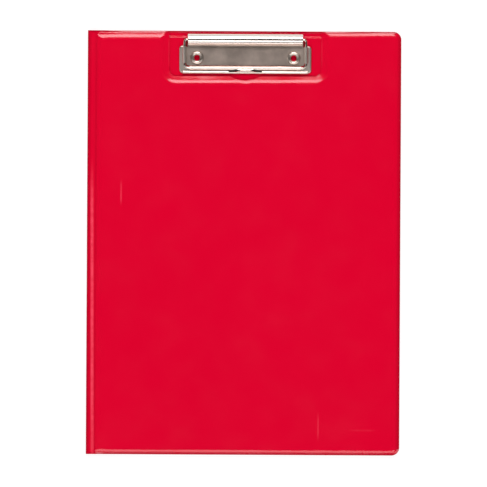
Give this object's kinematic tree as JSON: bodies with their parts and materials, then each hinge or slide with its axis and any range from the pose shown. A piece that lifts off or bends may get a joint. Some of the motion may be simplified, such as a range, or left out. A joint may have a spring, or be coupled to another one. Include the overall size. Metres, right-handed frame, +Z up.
{
  "type": "clipboard",
  "caption": "Fold-over clipboard: PVC-covered boards on a soft spine, a cover with a cut-out and inside pocket, and a sprung wire clip riveted to the back board.",
  "frame": {"origin": "middle of the closed clipboard's underside, on the surface it lies on", "axes": "+X from the spine to the free edge, +Y along the boards to the clip, +Z up out of the cover"},
  "size_m": [0.2352, 0.318, 0.0109],
  "materials": {
    "red_pvc": "gloss",
    "pocket_pvc": "satin",
    "greyboard": "matte",
    "nickel_plate": "polished",
    "spring_steel": "satin"
  },
  "bodies": {
    "back": {"back_core": "greyboard", "back_rear_sheet": "red_pvc", "back_front_sheet": "red_pvc", "clip_base": "nickel_plate", "eyelet_left": "nickel_plate", "eyelet_right": "nickel_plate", "torsion_spring_left": "spring_steel", "torsion_spring_right": "spring_steel"},
    "spine": {"spine_outer_strip": "red_pvc", "spine_lining_strip": "red_pvc"},
    "cover": {"cover_core": "greyboard", "cover_front_sheet": "red_pvc", "cover_lining": "red_pvc", "cover_pocket": "pocket_pvc"},
    "jaw": {"clip_jaw": "nickel_plate", "bail_wire": "nickel_plate"}
  },
  "joints": [
    {"name": "spine_fold", "type": "hinge", "parent": "back", "child": "spine", "pos_m": [-0.11725, 0, 0.00135], "axis": [0, -1, 0], "range_deg": [0, 90]},
    {"name": "cover_fold", "type": "hinge", "parent": "back", "child": "cover", "pos_m": [-0.11885, 0, 0.00295], "axis": [0, -1, 0], "range_deg": [0, 180]},
    {"name": "jaw_lift", "type": "hinge", "parent": "back", "child": "jaw", "pos_m": [0.0006, 0.1525, 0.00685], "axis": [-1, 0, 0], "range_deg": [0, 30], "stiffness_Nm_per_rad": 0.3, "springref_deg": -20.05, "deforming": ["torsion_spring_left", "torsion_spring_right"]}
  ],
  "couplings": [
    {"joint": "spine_fold", "follows": "cover_fold", "ratio": 0.5}
  ]
}
